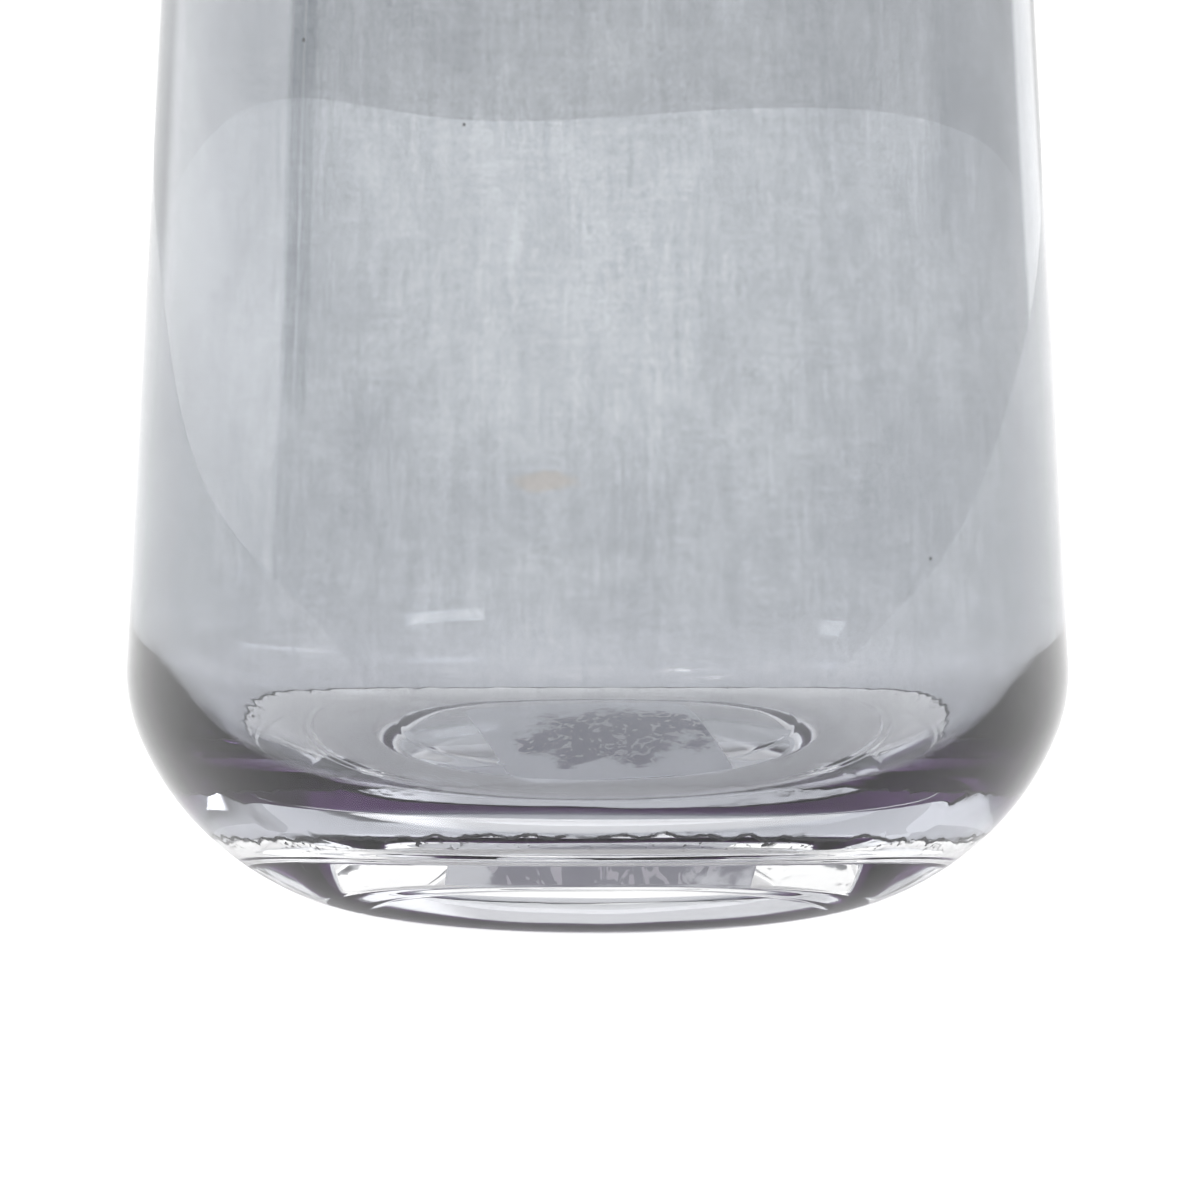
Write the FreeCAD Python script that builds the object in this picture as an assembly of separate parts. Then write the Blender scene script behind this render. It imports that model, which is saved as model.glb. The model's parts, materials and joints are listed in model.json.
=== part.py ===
import FreeCAD, Part
import math
import os

# Blown glass vase, upright on its foot. Millimetres, +Z up.
# Origin: centre of the foot, on the plane that the vase stands on.

# overall sizes
body_diameter = 140.0          # widest, at the top of the heel
overall_height = 250.0
wall_taper_deg = 3.4           # the wall leans inwards from the heel up to the rim

# heel: three tangent arcs, from the foot up to the wall
foot_arc_radius = 27.5
heel_arc_radius = 42.0
shoulder_arc_radius = 25.0
foot_arc_end_deg = 68.0        # where the foot arc meets the heel arc, degrees below horizontal
heel_arc_end_deg = 22.0        # where the heel arc meets the shoulder arc

# inside of the vessel
wall_thickness = 2.6
base_thickness = 15.6          # least height of the inside floor, at the foot of the kick-up
kick_up_radius = 34.4          # the middle of the floor is pushed up inside this radius
kick_up_rise = 3.4
floor_slope_deg = 4.7          # outside the kick-up the floor rises towards the inner corner
inner_corner_radius = 24.1

# shallow hollow under the foot
foot_ring_width = 2.6          # flat polished ring that the vase stands on
hollow_slope_width = 2.5
hollow_depth = 1.7

# lustre film on the outside
film_thickness = 0.12
film_lower_edge = 14.5
film_rim_gap = 0.1             # from the film's top to the start of the rounded rim

# blank label in the hollow
label_aspect = 0.76            # width over length
label_edge_gap = 2.6           # from the label's square corners to the start of the hollow's slope
label_corner_radius = 3.0
label_thickness = 0.15
label_turn_deg = 12.0

foot_arc_end = math.radians(foot_arc_end_deg)
heel_arc_end = math.radians(heel_arc_end_deg)
wall_taper = math.radians(wall_taper_deg)
floor_slope = math.radians(floor_slope_deg)


def polar(centre, radius, angle):
    """A point on a circle in the (r, z) half plane; angle counts up from the outward horizontal."""
    return (centre[0] + radius * math.cos(angle), centre[1] + radius * math.sin(angle))


def arc_centres():
    """Centres of the three heel arcs, worked inwards from the widest radius."""
    widest = body_diameter / 2
    shoulder_x = widest - shoulder_arc_radius
    heel_x = shoulder_x - (heel_arc_radius - shoulder_arc_radius) * math.cos(heel_arc_end)
    foot_x = heel_x + (heel_arc_radius - foot_arc_radius) * math.cos(foot_arc_end)
    foot_z = foot_arc_radius
    heel_z = foot_z + (heel_arc_radius - foot_arc_radius) * math.sin(foot_arc_end)
    shoulder_z = heel_z - (heel_arc_radius - shoulder_arc_radius) * math.sin(heel_arc_end)
    return (foot_x, foot_z), (heel_x, heel_z), (shoulder_x, shoulder_z)


foot_centre, heel_centre, shoulder_centre = arc_centres()
foot_radius = foot_centre[0]
hollow_mouth_radius = foot_radius - foot_ring_width
hollow_flat_radius = hollow_mouth_radius - hollow_slope_width
label_half_diagonal = hollow_flat_radius - label_edge_gap
label_length = 2 * label_half_diagonal / math.hypot(1, label_aspect)
label_width = label_aspect * label_length


def wall_radius(z, offset=0.0):
    """Radius of the tapering wall at height z, offset outwards by the given distance."""
    start_r, start_z = polar(shoulder_centre, shoulder_arc_radius + offset, wall_taper)
    return start_r - (z - start_z) * math.tan(wall_taper)


def point(rz):
    return FreeCAD.Vector(rz[0], 0, rz[1])


def line(start, end):
    return Part.makeLine(point(start), point(end))


def arc(centre, radius, start, end):
    """Arc edge in the (r, z) half plane between two angles."""
    ends = [polar(centre, radius, angle) for angle in (start, (start + end) / 2, end)]
    return Part.Arc(*[point(rz) for rz in ends]).toShape()


def revolve(edges):
    face = Part.Face(Part.Wire(edges))
    return face.revolve(FreeCAD.Vector(0, 0, 0), FreeCAD.Vector(0, 0, 1), 360)


def outer_edges(offset, start_angle, top_z):
    """Outside of the vessel from a point on the heel or foot arcs up to top_z, offset outwards."""
    arcs = [
        (foot_centre, foot_arc_radius, -math.pi / 2, -foot_arc_end),
        (heel_centre, heel_arc_radius, -foot_arc_end, -heel_arc_end),
        (shoulder_centre, shoulder_arc_radius, -heel_arc_end, wall_taper),
    ]
    edges = []
    for centre, radius, start, end in arcs:
        if end <= start_angle:
            continue
        edges.append(arc(centre, radius + offset, max(start, start_angle), end))
    wall_start = polar(shoulder_centre, shoulder_arc_radius + offset, wall_taper)
    edges.append(line(wall_start, (wall_radius(top_z, offset), top_z)))
    return edges


def rim_bottom_z():
    """Height where the straight wall ends and the fire-polished rim begins."""
    return overall_height - wall_thickness / 2


def inner_corner_centre():
    """Centre of the arc that touches both the wall's inside and the sloping floor.

    It lies one corner radius in from the wall's line and one corner radius up from the floor's line.
    """
    wall_r, wall_z = polar(shoulder_centre, shoulder_arc_radius - wall_thickness, wall_taper)
    wall_reach = inner_corner_radius - wall_r * math.cos(wall_taper) - wall_z * math.sin(wall_taper)
    floor_reach = (
        inner_corner_radius
        - kick_up_radius * math.sin(floor_slope)
        + base_thickness * math.cos(floor_slope)
    )
    turn = math.cos(wall_taper - floor_slope)
    centre_r = -(wall_reach * math.cos(floor_slope) + floor_reach * math.sin(wall_taper)) / turn
    centre_z = (floor_reach * math.cos(wall_taper) - wall_reach * math.sin(floor_slope)) / turn
    return (centre_r, centre_z)


def glass_body():
    """The vessel: outside, rounded rim, inside wall, corner, floor with its kick-up, hollow underneath."""
    corner_centre = inner_corner_centre()
    rim_z = rim_bottom_z()
    outer_top = (wall_radius(rim_z), rim_z)
    inner_top = (wall_radius(rim_z, -wall_thickness), rim_z)
    rim_crown = ((outer_top[0] + inner_top[0]) / 2, overall_height)
    inner_wall_foot = polar(corner_centre, inner_corner_radius, wall_taper)
    corner_end = floor_slope - math.pi / 2
    floor_edge = polar(corner_centre, inner_corner_radius, corner_end)
    dome_foot = (kick_up_radius, base_thickness)
    floor_middle = (0, base_thickness + kick_up_rise)
    dome_radius = (kick_up_radius ** 2 + kick_up_rise ** 2) / (2 * kick_up_rise)
    dome_centre = (0, floor_middle[1] - dome_radius)
    dome_foot_angle = math.acos(kick_up_radius / dome_radius)

    edges = outer_edges(0, -math.pi / 2, rim_z)
    edges.append(Part.Arc(point(outer_top), point(rim_crown), point(inner_top)).toShape())
    edges.append(line(inner_top, inner_wall_foot))
    edges.append(arc(corner_centre, inner_corner_radius, wall_taper, corner_end))
    edges.append(line(floor_edge, dome_foot))
    edges.append(arc(dome_centre, dome_radius, dome_foot_angle, math.pi / 2))
    edges.append(line(floor_middle, (0, hollow_depth)))
    edges.append(line((0, hollow_depth), (hollow_flat_radius, hollow_depth)))
    edges.append(line((hollow_flat_radius, hollow_depth), (hollow_mouth_radius, 0)))
    edges.append(line((hollow_mouth_radius, 0), (foot_radius, 0)))
    return revolve(edges)


def lustre_coat():
    """Thin film on the outside, from its lower edge on the heel to just under the rim."""
    drop = (heel_centre[1] - film_lower_edge) / heel_arc_radius
    edge_angle = -math.asin(drop)
    top_z = rim_bottom_z() - film_rim_gap
    inner_side = outer_edges(0, edge_angle, top_z)
    outer_side = outer_edges(film_thickness, edge_angle, top_z)
    lower_edge = line(
        polar(heel_centre, heel_arc_radius, edge_angle),
        polar(heel_centre, heel_arc_radius + film_thickness, edge_angle),
    )
    upper_edge = line((wall_radius(top_z), top_z), (wall_radius(top_z, film_thickness), top_z))
    return revolve([lower_edge] + outer_side + [upper_edge] + inner_side)


def underside_label():
    """Rounded rectangular blank label, stuck to the flat top of the hollow."""
    half_w = label_width / 2
    half_l = label_length / 2
    blank = Part.makeBox(
        label_width, label_length, label_thickness,
        FreeCAD.Vector(-half_w, -half_l, hollow_depth - label_thickness),
    )
    corners = [
        edge for edge in blank.Edges
        if abs(edge.Vertexes[0].Z - edge.Vertexes[1].Z) > label_thickness / 2
    ]
    label = blank.makeFillet(label_corner_radius, corners)
    label.rotate(FreeCAD.Vector(0, 0, 0), FreeCAD.Vector(0, 0, 1), label_turn_deg)
    return label


os.makedirs("parts", exist_ok=True)
nodes = {
    "glass_body": glass_body(),
    "lustre_coat": lustre_coat(),
    "underside_label": underside_label(),
}
for name, shape in nodes.items():
    shape.exportStep(f"parts/{name}.step")
    box = shape.BoundBox
    print(name, "valid", shape.isValid(), "solids", len(shape.Solids), "volume", round(shape.Volume, 1),
          "size", round(box.XLength, 2), round(box.YLength, 2), round(box.ZLength, 2))
print("foot radius", round(foot_radius, 2), "mouth radius", round(wall_radius(overall_height, -wall_thickness), 2))
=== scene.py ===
import json
import math

import bpy
import numpy as np
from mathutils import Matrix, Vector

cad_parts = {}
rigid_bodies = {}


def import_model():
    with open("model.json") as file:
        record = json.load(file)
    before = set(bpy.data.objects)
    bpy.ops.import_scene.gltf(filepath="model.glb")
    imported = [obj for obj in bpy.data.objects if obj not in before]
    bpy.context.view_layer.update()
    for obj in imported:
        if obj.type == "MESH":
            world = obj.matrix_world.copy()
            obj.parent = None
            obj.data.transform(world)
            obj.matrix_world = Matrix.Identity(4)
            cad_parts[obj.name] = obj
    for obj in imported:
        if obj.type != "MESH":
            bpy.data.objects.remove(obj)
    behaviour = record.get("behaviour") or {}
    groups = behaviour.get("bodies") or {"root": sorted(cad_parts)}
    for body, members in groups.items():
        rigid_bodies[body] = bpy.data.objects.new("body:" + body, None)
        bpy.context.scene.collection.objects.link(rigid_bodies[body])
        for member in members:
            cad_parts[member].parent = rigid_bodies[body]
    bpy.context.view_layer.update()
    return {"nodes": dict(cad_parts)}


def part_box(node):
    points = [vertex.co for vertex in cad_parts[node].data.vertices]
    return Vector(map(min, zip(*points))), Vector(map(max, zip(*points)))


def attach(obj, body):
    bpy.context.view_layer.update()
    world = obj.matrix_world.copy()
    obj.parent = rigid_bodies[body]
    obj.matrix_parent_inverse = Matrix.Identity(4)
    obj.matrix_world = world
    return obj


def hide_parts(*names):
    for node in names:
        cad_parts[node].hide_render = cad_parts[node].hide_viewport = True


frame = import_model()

mm = 0.001
fullTurn = 2 * math.pi

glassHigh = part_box("glass_body")[1]
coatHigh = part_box("lustre_coat")[1]
labelLow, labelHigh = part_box("underside_label")
print("frame loaded:", ", ".join(sorted(frame["nodes"])))


class Wire:
    # One output socket. Sums and products of wires add Math nodes; node() adds any other node.

    def __init__(self, tree, socket=None):
        self.tree = tree
        self.socket = socket

    def node(self, kind, settings=None, inputs=None, output=0):
        made = self.tree.nodes.new(kind)
        for key, value in (settings or {}).items():
            setattr(made, key, value)
        for key, value in (inputs or {}).items():
            if isinstance(value, Wire):
                self.tree.links.new(value.socket, made.inputs[key])
            else:
                made.inputs[key].default_value = value
        return Wire(self.tree, made.outputs[output]) if made.outputs else None

    def maths(self, operation, *values):
        return self.node("ShaderNodeMath", {"operation": operation}, dict(enumerate(values)))

    def __add__(self, other):
        return self.maths("ADD", self, other)

    def __radd__(self, other):
        return self.maths("ADD", other, self)

    def __sub__(self, other):
        return self.maths("SUBTRACT", self, other)

    def __rsub__(self, other):
        return self.maths("SUBTRACT", other, self)

    def __mul__(self, other):
        return self.maths("MULTIPLY", self, other)

    def __rmul__(self, other):
        return self.maths("MULTIPLY", other, self)

    def __truediv__(self, other):
        return self.maths("DIVIDE", self, other)

    # 0 below low, 1 above high, smooth between
    def step(self, low, high):
        settings = {"interpolation_type": "SMOOTHSTEP"}
        return self.node("ShaderNodeMapRange", settings, {"Value": self, "From Min": low, "From Max": high})

    # a mix of two colours by this wire
    def blend(self, first, second):
        settings = {"data_type": "RGBA"}
        return self.node("ShaderNodeMix", settings, {0: self, 6: first, 7: second}, output=2)


def newMaterial(name):
    material = bpy.data.materials.new(name)
    material.use_nodes = True
    material.node_tree.nodes.clear()
    return material, Wire(material.node_tree)


def finishMaterial(graph, shader):
    graph.node("ShaderNodeOutputMaterial", inputs={"Surface": shader})


def noise(graph, place, scale, detail=2.0, roughness=0.5, distortion=0.0):
    return graph.node("ShaderNodeTexNoise", inputs={
        "Vector": place,
        "Scale": scale,
        "Detail": detail,
        "Roughness": roughness,
        "Distortion": distortion,
    })


def objectPlace(graph, stretch=(1, 1, 1)):
    coordinates = graph.node("ShaderNodeTexCoord", output="Object")
    return graph.node("ShaderNodeMapping", inputs={"Vector": coordinates, "Scale": stretch})


def arcPoints(centre, radius, startDeg, endDeg):
    # a circle's points at even angles; the angle counts up from the outward horizontal
    steps = max(8, int(abs(endDeg - startDeg) * math.pi / 180 * radius / (0.2 * mm)))
    angles = np.radians(np.linspace(startDeg, endDeg, steps))
    return np.stack([centre[0] + radius * np.cos(angles), centre[1] + radius * np.sin(angles)], 1)


def pathLength(points):
    return np.concatenate([[0], np.cumsum(np.hypot(*np.diff(points, axis=0).T))])


def evenly(points, spacing):
    # the same line with points at an even spacing along it
    along = pathLength(points)
    places = np.linspace(0, along[-1], max(2, int(along[-1] / spacing)))
    return np.stack([np.interp(places, along, points[:, i]) for i in (0, 1)], 1)


def softened(points, reach, spacing=0.2 * mm):
    # corners rounded: each point becomes a bell-weighted mean of the points within reach of it
    line = evenly(points, spacing)
    span = int(2 * reach / spacing)
    bell = np.exp(-0.5 * (np.arange(-span, span + 1) * spacing / (0.5 * reach)) ** 2)
    bell /= bell.sum()
    padded = np.concatenate([2 * line[0] - line[span:0:-1], line, 2 * line[-1] - line[-2:-span - 2:-1]])
    return np.stack([np.convolve(padded[:, i], bell, mode="valid") for i in (0, 1)], 1)


def spaced(points, pitch):
    # resampled so that the gap between points follows pitch(radius, height)
    along = pathLength(points)
    gaps = pitch(points[:, 0], points[:, 1])
    count = np.concatenate([[0], np.cumsum(np.diff(along) / ((gaps[1:] + gaps[:-1]) / 2))])
    places = np.interp(np.linspace(0, count[-1], int(count[-1]) + 1), count, along)
    return np.stack([np.interp(places, along, points[:, i]) for i in (0, 1)], 1)


def lathe(name, points, turns, wander=None):
    # The profile carried round the axis: x = r cos a, y = r sin a, z = h; wander(a, r, h) shifts r and h.
    # A first or last point on the axis becomes one shared vertex; otherwise that edge stays open.
    angles = np.arange(turns) * fullTurn / turns
    radius = np.repeat(points[:, 0][:, None], turns, 1)
    height = np.repeat(points[:, 1][:, None], turns, 1)
    angle = np.repeat(angles[None, :], len(points), 0)
    if wander is not None:
        radius, height = wander(angle, radius, height)
    places = np.stack([radius * np.cos(angle), radius * np.sin(angle), height], 2)
    poleStart = points[0, 0] < 0.001 * mm
    poleEnd = points[-1, 0] < 0.001 * mm
    body = places[(1 if poleStart else 0):(len(points) - 1 if poleEnd else len(points))]
    rows = len(body)
    index = np.arange(rows * turns).reshape(rows, turns)
    right = np.roll(index, -1, axis=1)
    quads = np.stack([index[:-1], right[:-1], right[1:], index[1:]], 2).reshape(-1, 4)
    vertices = body.reshape(-1, 3)
    faces = quads.tolist()
    if poleStart:
        pole = len(vertices)
        vertices = np.concatenate([vertices, places[0].mean(0, keepdims=True)])
        fan = np.stack([np.full(turns, pole), right[0], index[0]], 1)
        faces += fan.tolist()
    if poleEnd:
        pole = len(vertices)
        vertices = np.concatenate([vertices, places[-1].mean(0, keepdims=True)])
        fan = np.stack([np.full(turns, pole), index[-1], right[-1]], 1)
        faces += fan.tolist()
    return newPiece(name, vertices, faces)


def newPiece(name, vertices, faces):
    mesh = bpy.data.meshes.new(name)
    mesh.from_pydata(np.asarray(vertices, float).tolist(), [], faces)
    mesh.validate()
    mesh.shade_smooth()
    piece = bpy.data.objects.new(name, mesh)
    bpy.context.scene.collection.objects.link(piece)
    return piece


def waves(seed, count, lowest, highest, size):
    # A smooth random function of (angle, s): a sum of cosines, in whole turns of the angle.
    chance = np.random.default_rng(seed)
    turnsRound = chance.integers(lowest, highest + 1, count)
    alongRate = chance.uniform(-1.0, 1.0, count) * fullTurn / (60 * mm)
    phase = chance.uniform(0, fullTurn, count)
    weight = size / math.sqrt(count / 2) * chance.uniform(0.6, 1.4, count)

    def value(angle, s):
        total = np.zeros_like(angle)
        for k in range(count):
            total += weight[k] * np.cos(turnsRound[k] * angle + alongRate[k] * s + phase[k])
        return total

    return value


vase = {
    "wallTaperDeg": 3.4,
    "footArc": 27.5 * mm,
    "heelArc": 42.0 * mm,
    "shoulderArc": 25.0 * mm,
    "footArcEndDeg": 68.0,
    "heelArcEndDeg": 22.0,
    "wall": 2.6 * mm,
    "base": 15.6 * mm,
    "kickUp": 34.4 * mm,
    "kickUpRise": 3.4 * mm,
    "floorSlopeDeg": 4.7,
    "innerCorner": 24.1 * mm,
    "footRing": 2.6 * mm,
    "hollowSlope": 2.5 * mm,
    "hollowDepth": 1.7 * mm,
    "drawIn": 0.05 * mm,           # keeps the waves inside the true outline
    "turns": 256,
    "finePitch": 1.4 * mm,
    "coarsePitch": 6.5 * mm,
    # marks that the blowing left on the floor: radius, depth, half width, all in millimetres
    "floorRings": [(44.6, 0.20, 0.35), (46.0, 0.08, 0.4), (34.8, 0.06, 0.35), (30.6, 0.05, 0.35)],
}

widest = coatHigh.x
height = glassHigh.z


def turned(centre, radius, deg):
    angle = math.radians(deg)
    return np.array([centre[0] + radius * math.cos(angle), centre[1] + radius * math.sin(angle)])


def heelCentres():
    # three circles, each touching the next where they share a direction
    v = vase
    footTurn = math.radians(v["footArcEndDeg"])
    heelTurn = math.radians(v["heelArcEndDeg"])
    shoulder = np.array([widest - v["shoulderArc"], 0.0])
    towardsHeel = np.array([math.cos(heelTurn), -math.sin(heelTurn)])
    towardsFoot = np.array([math.cos(footTurn), -math.sin(footTurn)])
    heel = shoulder + (v["shoulderArc"] - v["heelArc"]) * towardsHeel
    foot = heel + (v["heelArc"] - v["footArc"]) * towardsFoot
    lift = v["footArc"] - foot[1]
    return [centre + np.array([0, lift]) for centre in (foot, heel, shoulder)]


footCentre, heelCentre, shoulderCentre = heelCentres()


def wallRadius(z, inset=0.0):
    start = turned(shoulderCentre, vase["shoulderArc"] - inset, vase["wallTaperDeg"])
    return start[0] - (z - start[1]) * math.tan(math.radians(vase["wallTaperDeg"]))


def outsideLine(inset, top):
    v = vase
    return np.concatenate([
        arcPoints(footCentre, v["footArc"] - inset, -90, -v["footArcEndDeg"]),
        arcPoints(heelCentre, v["heelArc"] - inset, -v["footArcEndDeg"], -v["heelArcEndDeg"]),
        arcPoints(shoulderCentre, v["shoulderArc"] - inset, -v["heelArcEndDeg"], v["wallTaperDeg"]),
        [[wallRadius(top, inset), top]],
    ])


def outsideRadius(z, inset=0.0):
    # radius of the outside at each height z, read from the outline
    line = outsideLine(inset, height)
    return np.interp(z, line[:, 1], line[:, 0])


def insideLine():
    # From the inside wall's top round the corner, in along the sloping floor, and up over the kick-up.
    # The corner's centre is one corner radius from the wall's line and one from the floor's line.
    v = vase
    rimZ = height - v["wall"] / 2
    taper = math.radians(v["wallTaperDeg"])
    slope = math.radians(v["floorSlopeDeg"])
    corner = v["innerCorner"]
    wallFoot = turned(shoulderCentre, v["shoulderArc"] - v["wall"], v["wallTaperDeg"])
    wallReach = corner - wallFoot[0] * math.cos(taper) - wallFoot[1] * math.sin(taper)
    floorReach = corner - v["kickUp"] * math.sin(slope) + v["base"] * math.cos(slope)
    turn = math.cos(taper - slope)
    centre = (-(wallReach * math.cos(slope) + floorReach * math.sin(taper)) / turn,
              (floorReach * math.cos(taper) - wallReach * math.sin(slope)) / turn)
    domeRadius = (v["kickUp"] ** 2 + v["kickUpRise"] ** 2) / (2 * v["kickUpRise"])
    domeCentre = (0, v["base"] + v["kickUpRise"] - domeRadius)
    domeFootDeg = math.degrees(math.acos(v["kickUp"] / domeRadius))
    return np.concatenate([
        [[wallRadius(rimZ, v["wall"]), rimZ]],
        arcPoints(centre, corner, v["wallTaperDeg"], v["floorSlopeDeg"] - 90),
        arcPoints(domeCentre, domeRadius, domeFootDeg, 90),
    ])


def undersideLine():
    # from the middle of the hollow out to the foot ring
    v = vase
    mouth = footCentre[0] - v["footRing"]
    return np.array([
        [0, v["hollowDepth"]],
        [mouth - v["hollowSlope"], v["hollowDepth"]],
        [mouth, 0.0],
        [footCentre[0], 0.0],
    ])


def rimLine():
    rimZ = height - vase["wall"] / 2
    outer = wallRadius(rimZ)
    inner = wallRadius(rimZ, vase["wall"])
    return arcPoints(((outer + inner) / 2, rimZ), (outer - inner) / 2, 0, 180)


innerWander = waves(11, 7, 1, 5, 0.05 * mm)
floorWander = waves(12, 6, 1, 6, 0.02 * mm)
outerWander = waves(13, 6, 1, 4, 0.03 * mm)


def buildGlass():
    v = vase
    under = softened(undersideLine(), 0.7 * mm)
    outside = outsideLine(0, height - v["wall"] / 2)
    inside = softened(insideLine(), 1.1 * mm)
    under[0] = [0, under[0, 1]]
    inside[-1] = [0, inside[-1, 1]]
    line = np.concatenate([under, outside[1:], rimLine()[1:], inside[1:]])

    def pitch(radius, z):
        # finest over the marked floor, coarse up the straight wall, fine again round the rim
        grow = np.clip((z - 50 * mm) / (40 * mm), 0, 1)
        rim = np.clip((height - z) / (6 * mm), 0.06, 1)
        marked = (radius > 29 * mm) & (radius < 48 * mm) & (z > 12 * mm) & (z < 19 * mm)
        marked = marked & (radius < outsideRadius(z) - 5 * mm)
        plain = v["finePitch"] + (v["coarsePitch"] - v["finePitch"]) * grow
        return plain * rim * np.where(marked, 0.22, 1)

    points = spaced(line, pitch)
    points[0, 0] = points[-1, 0] = 0.0
    inner = (points[:, 1] > 8 * mm) & (points[:, 0] < outsideRadius(points[:, 1]) - 2 * mm)
    for radius, depth, width in v["floorRings"]:
        points[:, 1] -= inner * depth * mm * np.exp(-((points[:, 0] - radius * mm) / (width * mm)) ** 2)

    def wander(angle, radius, z):
        # the outside is mould-smooth; the blown inside and the floor are less even
        outer = outsideRadius(z)
        depth = np.clip((outer - radius) / (2 * mm), 0, 1)
        low = np.clip((60 * mm - z) / (30 * mm), 0, 1)
        level = np.clip(z / (12 * mm), 0, 1)
        shift = outerWander(angle, z) * level * (1 - depth) + innerWander(angle, z) * depth * level
        settle = np.clip(radius / (12 * mm), 0, 1)
        lift = floorWander(angle, radius) * depth * low * level * settle
        shrink = np.clip(radius / (20 * mm), 0, 1)
        return radius + (shift - v["drawIn"]) * shrink * level, z + lift

    piece = lathe("vaseGlass", points, v["turns"], wander)
    print("glass body:", len(piece.data.polygons), "faces")
    return piece


glassFinish = {
    "tint": (0.985, 0.988, 0.988, 1),
    "ior": 1.51,
}


def glassMaterial():
    material, graph = newMaterial("clearGlass")
    place = objectPlace(graph)
    haze = noise(graph, place, 90, detail=4).step(0.45, 0.8)
    shader = graph.node("ShaderNodeBsdfPrincipled", inputs={
        "Base Color": glassFinish["tint"],
        "Roughness": haze * 0.02,
        "IOR": glassFinish["ior"],
        "Transmission Weight": 1.0,
    })
    finishMaterial(graph, shader)
    return material


coat = {
    "inset": 0.10 * mm,
    "thick": 0.06 * mm,
    "frontEdge": 17.4 * mm,
    "sideEdge": 11.0 * mm,
    "backEdge": 11.0 * mm,
    "wander": 0.22 * mm,
    "specksBelow": 3.5 * mm,
    "turns": 512,
    "rows": 60,
}
edgeWander = waves(21, 24, 5, 90, coat["wander"])


def coatEdge(angle):
    # mean height of the edge, highest in front (-Y)
    front = np.clip(-np.sin(angle), 0, 1) ** 2 * (coat["frontEdge"] - coat["sideEdge"])
    back = np.clip(np.sin(angle), 0, 1) ** 2 * (coat["backEdge"] - coat["sideEdge"])
    return coat["sideEdge"] + front + back + edgeWander(angle, np.zeros_like(angle))


def buildCoat():
    # A closed skin just under the glass's outer face, from below the ragged edge to just under the rim.
    # Each vertex keeps its height above the edge, in millimetres, as the attribute "overEdge".
    top = coatHigh.z - 0.4 * mm
    turns = coat["turns"]
    angle = np.arange(turns) * fullTurn / turns
    edge = coatEdge(angle)
    low = edge - coat["specksBelow"]
    share = np.linspace(0, 1, coat["rows"]) ** 2.4       # closer rows near the edge
    z = low[None, :] + (top - low)[None, :] * share[:, None]
    level = np.clip(z / (12 * mm), 0, 1)
    # it sways with the glass's own outside
    sway = outerWander(angle[None, :] + 0 * z, z) * level - vase["drawIn"]
    skins = []
    for inset in (coat["inset"], coat["inset"] + coat["thick"]):
        radius = outsideRadius(z, inset) + sway
        skins.append(np.stack([radius * np.cos(angle), radius * np.sin(angle), z], 2))
    loop = np.concatenate([skins[0], skins[1][::-1]])      # up the outer face, down the inner face
    count = len(loop)
    index = np.arange(count * turns).reshape(count, turns)
    right = np.roll(index, -1, axis=1)
    nextRow = np.roll(index, -1, axis=0)
    nextRight = np.roll(right, -1, axis=0)
    quads = np.stack([index, right, nextRight, nextRow], 2).reshape(-1, 4)
    piece = newPiece("lustreSkin", loop.reshape(-1, 3), quads.tolist())
    over = (loop[..., 2] - edge[None, :]) / mm
    piece.data.attributes.new("overEdge", "FLOAT", "POINT").data.foreach_set("value", over.ravel())
    print("lustre coat:", len(piece.data.polygons), "faces")
    return piece


coatFinish = {
    "thin": (0.925, 0.932, 0.94, 1),
    "thick": (0.70, 0.714, 0.73, 1),
    "lilac": (0.80, 0.805, 0.825, 1),
    # this colour and the dark metal below are painted shade for the heel's dark corners, used at a steep
    # slant
    "paintedCornerShade": (0.54, 0.43, 0.58, 1),
    "metal": (0.62, 0.62, 0.65, 1),
    "metalDark": (0.50, 0.50, 0.53, 1),
    "metalPaintedShade": (0.16, 0.11, 0.16, 1),
    "deposit": (0.06, 0.06, 0.07, 1),
    "brown": (0.81, 0.775, 0.74, 1),
    "least": 0.035,
    "most": 0.07,
    "slantRise": 0.14,             # how much more of the light the metal turns back at a slant
    "slantThick": 1.5,             # and how much thicker the film is to look through
    "smearAt": (-6.5 * mm, -66 * mm, 67 * mm),
}


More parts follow.
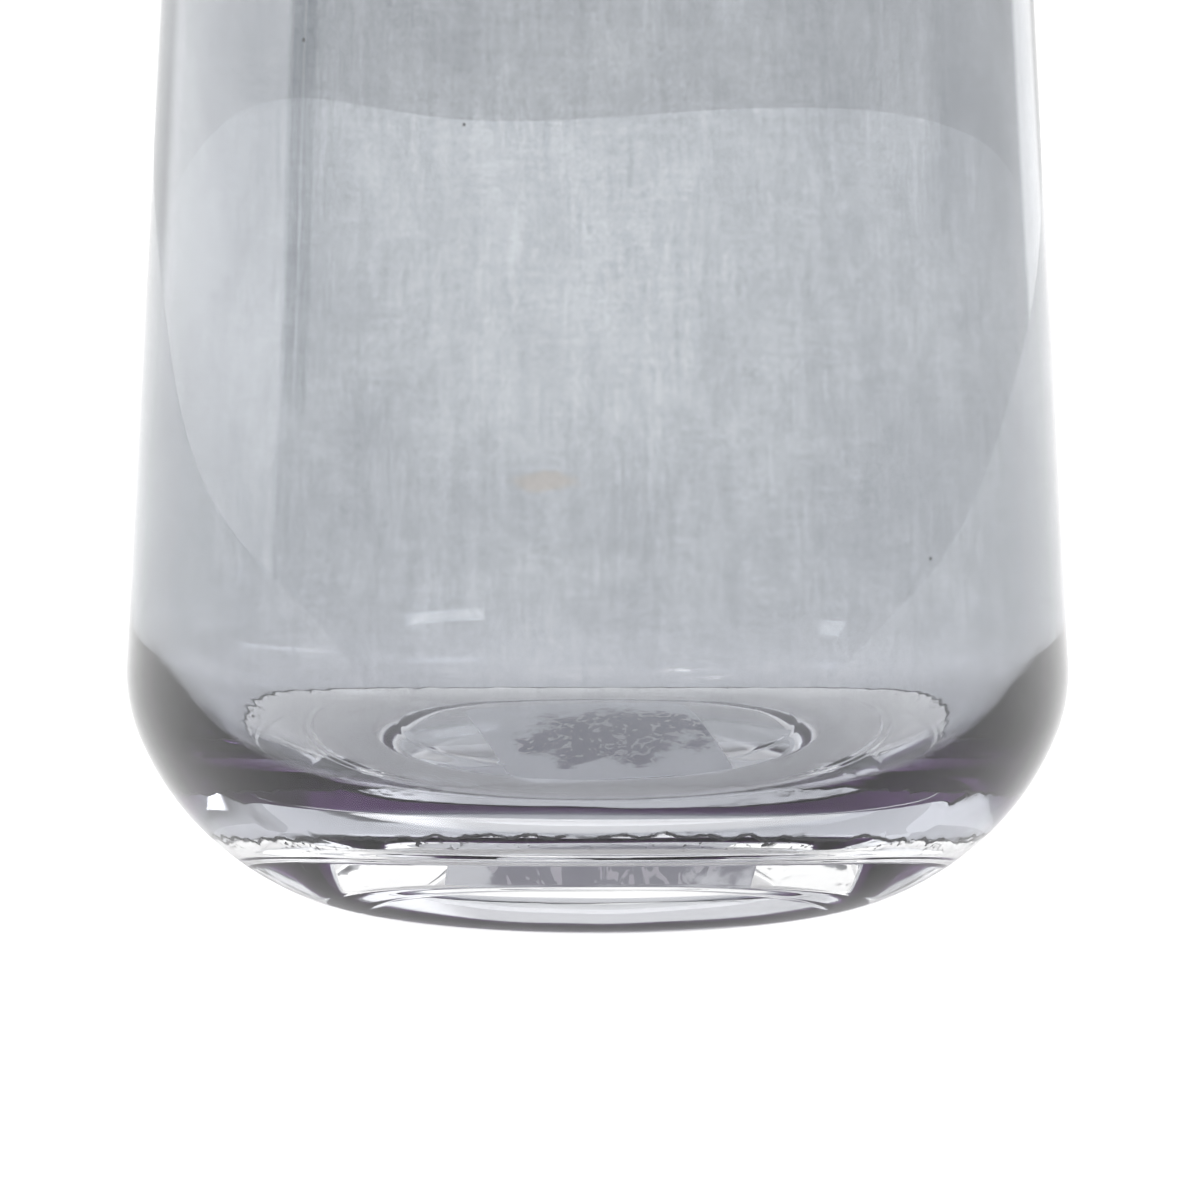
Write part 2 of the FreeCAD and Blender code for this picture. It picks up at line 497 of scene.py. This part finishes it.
def coatMaterial():
    # Light crosses the two faces of the skin on each pass. Light that the outer face would throw back
    # inside meets them at more than the critical angle; there the film is made dark and lilac, painted
    # shade that darkens the heel's corners.
    material, graph = newMaterial("smokeLustre")
    place = objectPlace(graph)
    z = graph.node("ShaderNodeSeparateXYZ", inputs={"Vector": place}, output=2)
    over = graph.node("ShaderNodeAttribute", {"attribute_name": "overEdge"}, output="Fac")

    clouds = noise(graph, objectPlace(graph, (1, 1, 0.7)), 42, detail=7, roughness=0.72, distortion=0.4)
    streaks = noise(graph, objectPlace(graph, (1, 1, 0.04)), 380, detail=3, roughness=0.65)
    upright = noise(graph, objectPlace(graph, (1, 1, 0.12)), 1100, detail=2, roughness=0.6)
    level = noise(graph, objectPlace(graph, (0.12, 0.12, 1)), 1000, detail=2, roughness=0.6)
    grain = noise(graph, place, 1500, detail=3, roughness=0.75)
    cloudy = clouds.step(0.3, 0.7) * 0.32 + streaks.step(0.32, 0.68) * 0.12
    fine = upright.step(0.32, 0.68) * 0.11 + level.step(0.32, 0.68) * 0.09 + grain.step(0.35, 0.65) * 0.15
    density = cloudy + fine + 0.32 + (1 - z.step(48 * mm, 95 * mm)) * 0.22
    slant = graph.node("ShaderNodeLayerWeight", inputs={"Blend": 0.5}, output="Facing")
    density = density + slant * coatFinish["slantThick"]
    cover = coatFinish["least"] + (coatFinish["most"] - coatFinish["least"]) * density
    cover = (cover + slant * coatFinish["slantRise"]) * (0.12 + 0.88 * z.step(24 * mm, 56 * mm))

    # edge: a ragged line where the lustre pooled, and specks below it
    ragged = noise(graph, place, 1300, detail=4, roughness=0.7) - 0.5
    gap = over + ragged * 0.9
    inside = gap.step(-0.04, 0.04)
    patchy = noise(graph, place, 130, detail=3, roughness=0.6)
    pooled = (1 - graph.maths("ABSOLUTE", gap - 0.2).step(0.1, 0.38)) * patchy.step(0.3, 0.5)
    dots = noise(graph, place, 1300, detail=1).step(0.60, 0.66)
    below = dots * over.step(-2.6, 0.2) * patchy.step(0.42, 0.6) * (1 - inside)
    smear = noise(graph, objectPlace(graph, (0.35, 0.35, 1)), 900, detail=3).step(0.5, 0.62)
    smear = smear * (1 - graph.maths("ABSOLUTE", over - 0.1).step(0.5, 1.4)) * patchy.step(0.6, 0.68)
    deposit = graph.maths("MINIMUM", graph.maths("MAXIMUM", pooled, below + smear * 0.8), 0.85)

    # a few dark pin specks, and one faint brown mark in front
    cells = {"Vector": place, "Scale": 55}
    nearest = graph.node("ShaderNodeTexVoronoi", inputs=cells, output="Distance")
    chosen = graph.node("ShaderNodeTexVoronoi", inputs=cells, output="Color")
    chosen = graph.node("ShaderNodeSeparateXYZ", inputs={"Vector": chosen}, output=0)
    pins = (1 - nearest.step(0.010, 0.022)) * chosen.step(0.45, 0.5)
    deposit = graph.maths("MAXIMUM", deposit, pins * 0.6)
    gapToMark = {0: place, 1: coatFinish["smearAt"]}
    fromMark = graph.node("ShaderNodeVectorMath", {"operation": "SUBTRACT"}, gapToMark)
    fromMark = graph.node("ShaderNodeMapping", inputs={"Vector": fromMark, "Scale": (1, 0.5, 3.6)})
    far = graph.node("ShaderNodeVectorMath", {"operation": "LENGTH"}, {0: fromMark}, output="Value") / mm
    brown = 1 - (far + (patchy - 0.5) * 12).step(2.5, 6.0)

    # painted shade: at a steep slant the film turns dark and lilac, darkening the heel's corners
    paintedShadeAtSlant = slant.step(0.25, 0.3)
    sheen = clouds.step(0.35, 0.7).blend(coatFinish["metal"], coatFinish["metalDark"])
    metal = graph.node("ShaderNodeBsdfPrincipled", inputs={
        "Base Color": paintedShadeAtSlant.blend(sheen, coatFinish["metalPaintedShade"]),
        "Metallic": 1.0,
        "Roughness": 0.015,
    })
    dirt = graph.node("ShaderNodeBsdfPrincipled", inputs={
        "Base Color": coatFinish["deposit"],
        "Roughness": 0.4,
    })
    low = 1 - z.step(22 * mm, 52 * mm)
    clear = {key: graph.node("ShaderNodeBsdfTransparent", inputs={"Color": coatFinish[key]})
             for key in ("thin", "thick", "lilac", "brown", "paintedCornerShade")}
    bare = graph.node("ShaderNodeBsdfTransparent")

    def mixed(factor, first, second):
        return graph.node("ShaderNodeMixShader", inputs={0: factor, 1: first, 2: second})

    through = mixed(graph.maths("MINIMUM", density / 1.3, 1.0), clear["thin"], clear["thick"])
    lower = mixed(low * 0.95, through, clear["lilac"])
    marked = mixed(brown * 0.8, lower, clear["brown"])
    withPaintedShade = mixed(paintedShadeAtSlant, marked, clear["paintedCornerShade"])
    film = mixed(cover, withPaintedShade, metal)
    finishMaterial(graph, mixed(deposit, mixed(inside, bare, film), dirt))
    return material


label = {
    "turnDeg": 12.0,
    "cornerRadius": 3.0 * mm,
    "rows": 60,
    "pocket": 0.01 * mm,
    "wetting": 0.04 * mm,
    "aspect": 0.76,
}


def buildLabel():
    # A rounded rectangle filled by rings: each is the outline scaled down, with air pockets as waves.
    turn = math.radians(label["turnDeg"])
    c = math.cos(turn)
    s = math.sin(turn)
    span = max(labelHigh.x - labelLow.x, labelHigh.y - labelLow.y)
    length = 1.01 * span / (c + label["aspect"] * s)      # the turned rectangle's box gives its sides
    width = length * label["aspect"]
    r = label["cornerRadius"]
    sides = [(1, 1, 0), (-1, 1, 90), (-1, -1, 180), (1, -1, 270)]
    corners = [
        arcPoints((across * (width / 2 - r), along * (length / 2 - r)), r, start, start + 90)
        for across, along, start in sides
    ]
    outline = np.concatenate(corners + [corners[0][:1]])
    along = pathLength(outline)
    places = np.linspace(0, along[-1], 241)[:-1]
    outline = np.stack([np.interp(places, along, outline[:, i]) for i in (0, 1)], 1)
    share = np.linspace(1 / label["rows"], 1, label["rows"])
    flat = share[:, None, None] * outline[None]
    spun = np.stack([flat[..., 0] * c - flat[..., 1] * s, flat[..., 0] * s + flat[..., 1] * c], 2)
    spin = np.arctan2(spun[..., 1], spun[..., 0])
    pockets = waves(31, 9, 2, 14, label["pocket"])(spin, np.hypot(spun[..., 0], spun[..., 1]) * 3)
    # its glue wets the glass, so the top is a hair above the glass's underside
    middle = np.clip(2 - 2 * share, 0, 1)[:, None]
    top = labelHigh.z + label["wetting"] - np.abs(pockets) * middle
    bottom = top - (labelHigh.z - labelLow.z) * 0.6
    upper = np.concatenate([spun, top[..., None]], 2)
    lower = np.concatenate([spun, bottom[..., None]], 2)
    loop = np.concatenate([upper, lower[::-1]])
    rows, turns = loop.shape[:2]
    index = np.arange(rows * turns).reshape(rows, turns)
    right = np.roll(index, -1, axis=1)
    quads = np.stack([index[:-1], index[1:], right[1:], right[:-1]], 2).reshape(-1, 4).tolist()
    vertices = np.concatenate([loop.reshape(-1, 3), [upper[0].mean(0)], [lower[0].mean(0)]])
    topPole, bottomPole = rows * turns, rows * turns + 1
    quads += np.stack([np.full(turns, topPole), index[0], right[0]], 1).tolist()
    quads += np.stack([np.full(turns, bottomPole), right[-1], index[-1]], 1).tolist()
    piece = newPiece("underLabel", vertices, quads)
    print("label:", len(piece.data.polygons), "faces")
    return piece


labelFinish = {
    "glue": ((0.80, 0.82, 0.86, 1), (0.70, 0.72, 0.76, 1)),
    "cloud": ((0.30, 0.30, 0.34, 1), (0.50, 0.50, 0.55, 1)),
    "fleck": (0.97, 0.97, 0.98, 1),
    # painted glow of the label: light from the lit table that soaks up through the paper
    "paintedGlowPlain": (0.86, 0.88, 0.92, 1),
    "paintedGlowCloud": (0.30, 0.30, 0.35, 1),
    "glow": 0.36,
    "patchAt": (3.3 * mm, 0, 2 * mm),
}


def labelMaterial():
    # Seen through the base: the paper's glue side, cloudy in the middle, with white flecks of caught air.
    material, graph = newMaterial("labelPaper")
    place = objectPlace(graph)
    reach = {0: place, 1: labelFinish["patchAt"]}
    offCentre = graph.node("ShaderNodeVectorMath", {"operation": "DISTANCE"}, reach, output="Value")
    uneven = noise(graph, place, 130, detail=4, roughness=0.65)
    patch = 1 - (offCentre / mm + (uneven - 0.5) * 26).step(11.5, 14.5)
    flecks = noise(graph, objectPlace(graph, (1, 0.6, 1)), 420, detail=2, distortion=2).step(0.56, 0.61)
    glue = uneven.blend(*labelFinish["glue"])
    cloud = noise(graph, place, 300, detail=3).blend(*labelFinish["cloud"])
    paper = (flecks * patch).blend(patch.blend(glue, cloud), labelFinish["fleck"])
    # painted glow: an emission stands in for the lit table's light soaking up through the paper, less where
    # the glue is cloudy
    glow = patch.blend(labelFinish["paintedGlowPlain"], labelFinish["paintedGlowCloud"])
    shader = graph.node("ShaderNodeBsdfPrincipled", inputs={
        "Base Color": paper,
        "Roughness": 0.6,
        "Emission Color": glow,
        "Emission Strength": labelFinish["glow"],
    })
    finishMaterial(graph, shader)
    return material


glassPiece = buildGlass()
glassPiece.data.materials.append(glassMaterial())
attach(glassPiece, "root")
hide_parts("glass_body")

coatPiece = buildCoat()
coatPiece.data.materials.append(coatMaterial())
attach(coatPiece, "root")
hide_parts("lustre_coat")

labelPiece = buildLabel()
labelPiece.data.materials.append(labelMaterial())
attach(labelPiece, "root")
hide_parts("underside_label")


studio = {
    "floorRadius": 12.0,
    "floorGlow": 0.8,              # a lit table, so the vase throws almost no shadow
    # painted shadow: close to the vase the glass sees the glow dimmed, in place of the vase's own shadow
    "glowInPaintedShadow": (0.22, 0.22, 0.22, 1),      # how much of the glow the glass sees, close by
    "glowFar": (0.42, 0.42, 0.42, 1),       # and far off
    "cameraRise": 5.2,             # degrees above level
    "cameraAway": 0.9,             # metres from the aim point
    "aimHeight": 44.6 * mm,
    "lens": 181.5,
    "aimSide": 0.36 * mm,
}


def buildFloor():
    # a disc as rings of a lathe, dense near the vase
    radii = np.concatenate([[0], np.geomspace(0.02, studio["floorRadius"], 40)])
    points = np.stack([radii, np.zeros_like(radii)], 1)[::-1]
    floor = lathe("paleFloor", points, 96)
    floor.location.z = -0.1 * mm
    material, graph = newMaterial("palePaper")
    shade = noise(graph, objectPlace(graph), 3, detail=3)
    # the glow fills the vase's shadow for the camera; the glass sees it dimmer, most of all close by, where
    # the dimming is a painted shadow of the vase on the table
    place = {0: objectPlace(graph)}
    away = graph.node("ShaderNodeVectorMath", {"operation": "LENGTH"}, place, output="Value")
    seen = graph.node("ShaderNodeLightPath", output="Is Camera Ray")
    paintedShadowGlow = away.step(50 * mm, 90 * mm).blend(studio["glowInPaintedShadow"], studio["glowFar"])
    glow = seen.blend(paintedShadowGlow, (1, 1, 1, 1))
    shader = graph.node("ShaderNodeBsdfPrincipled", inputs={
        "Base Color": shade.blend((0.93, 0.93, 0.93, 1), (0.96, 0.96, 0.96, 1)),
        "Roughness": 0.9,
        "Emission Color": glow,
        "Emission Strength": studio["floorGlow"],
    })
    finishMaterial(graph, shader)
    floor.data.materials.append(material)


room = {
    "front": 0.34,                 # light from the camera's side of the room
    "middleLift": 0.34,            # and how much more of it comes from the middle
    "white": 1.12,                 # the white paper behind and beside the vase
    "sideLift": 0.75,              # soft boxes that brighten the paper at both sides
    "leftEdgeDeg": 84,
    "streakDeg": 78,               # a dark upright from here to the left edge, with a light line in it
    "streakDark": 0.5,
    "glintDeg": 81,
    "glintLift": 0.4,
    "rightEdgeDeg": 138,
    "lineDeg": 92.5,               # a thin light line on the right
    "lineLift": 0.6,
    "shadeFromDeg": 95,            # from here to the right edge the room is darker
    "shade": 0.7,
    "skirting": (0.01, 0.26),      # the paper in front fades out between these sines of height
    "ceiling": 1.05,
    # soft boxes: turn and height in degrees, half width, half height, brightness
    "boxes": [(43, 12.5, 11, 4, 22.0), (-67, 15, 4, 5, 12.0), (-63, 68, 22, 4, 7.0)],
    # a slanting reflector: from, to, lowest, rise per degree, half height, brightness
    "reflector": (80, 117, 10.0, 0.57, 2.6, 10.0),
}


def buildWorld():
    # White paper behind and to the left, a darker room in front; a is the turn from -Y in degrees.
    world = bpy.data.worlds.new("studioLight")
    bpy.context.scene.world = world
    world.use_nodes = True
    world.node_tree.nodes.clear()
    graph = Wire(world.node_tree)
    way = graph.node("ShaderNodeTexCoord", output="Generated")
    split = graph.node("ShaderNodeSeparateXYZ", inputs={"Vector": way})
    x, y, z = [Wire(split.tree, split.socket.node.outputs[i]) for i in range(3)]
    a = graph.maths("ARCTAN2", x, y * -1) * math.degrees(1)
    left = (a * -1).step(room["leftEdgeDeg"], room["leftEdgeDeg"] + 3)
    streak = (a * -1).step(room["streakDeg"] - 2, room["streakDeg"]) * (1 - left) * z.step(0.03, 0.04)
    glint = 1 - graph.maths("ABSOLUTE", a + room["glintDeg"]).step(0.2, 0.9)
    dark = streak * (room["streakDark"] - glint * room["glintLift"])
    right = a.step(room["rightEdgeDeg"], room["rightEdgeDeg"] + 4)
    line = 1 - graph.maths("ABSOLUTE", a - room["lineDeg"]).step(0.8, 1.8)
    skirting = 1 - z.step(*room["skirting"])
    paper = graph.maths("MAXIMUM", graph.maths("MAXIMUM", left, right), skirting)
    middle = 1 - graph.maths("ABSOLUTE", a).step(10, 75)
    shaded = a.step(room["shadeFromDeg"], room["shadeFromDeg"] + 8) * room["shade"]
    front = (room["front"] + middle * room["middleLift"]) * (1 + line * room["lineLift"] - shaded)
    sides = left * (1 - (a * -1).step(138, 150)) + right * (1 - a.step(156, 164))
    level = (front + paper * (room["white"] - front)) * (1 - dark) + sides * room["sideLift"]
    above = z.step(0.5, 0.85)
    level = level + above * (room["ceiling"] - level)
    up = graph.maths("ARCSINE", z) * math.degrees(1)
    for turn, rise, halfWide, halfTall, bright in room["boxes"]:
        across = 1 - graph.maths("ABSOLUTE", a - turn).step(halfWide * 0.7, halfWide * 1.2)
        tall = 1 - graph.maths("ABSOLUTE", up - rise).step(halfTall * 0.9, halfTall * 1.1)
        level = level + across * tall * bright
    start, end, lowest, slope, halfTall, bright = room["reflector"]
    across = a.step(start, start + 10) * (1 - a.step(end - 6, end))
    tall = 1 - graph.maths("ABSOLUTE", up - (end - a) * slope - lowest).step(halfTall * 0.5, halfTall)
    level = level + across * tall * bright
    seen = graph.node("ShaderNodeLightPath", output="Is Camera Ray")
    strength = level + seen * (room["white"] - level)
    light = graph.node("ShaderNodeBackground", inputs={"Color": (1, 1, 1, 1), "Strength": strength})
    graph.node("ShaderNodeOutputWorld", inputs={"Surface": light})


def pointing(direction):
    # turns -Z to look along direction, with Y kept upright
    d = direction / np.linalg.norm(direction)
    return (math.acos(-d[2]), 0, math.atan2(-d[0], d[1]))


def buildCamera():
    data = bpy.data.cameras.new("camera")
    data.lens = studio["lens"]
    data.sensor_width = 36
    camera = bpy.data.objects.new("camera", data)
    bpy.context.scene.collection.objects.link(camera)
    rise = math.radians(studio["cameraRise"])
    aim = np.array([studio["aimSide"], 0, studio["aimHeight"]])
    away = studio["cameraAway"] * np.array([0, -math.cos(rise), math.sin(rise)])
    camera.location = aim + away
    camera.rotation_euler = pointing(-away)
    bpy.context.scene.camera = camera


buildFloor()
buildWorld()
buildCamera()
scene = bpy.context.scene
scene.view_settings.view_transform = "Standard"
scene.cycles.max_bounces = 24
scene.cycles.transmission_bounces = 24
scene.cycles.glossy_bounces = 12
scene.cycles.transparent_max_bounces = 48
print("studio ready")
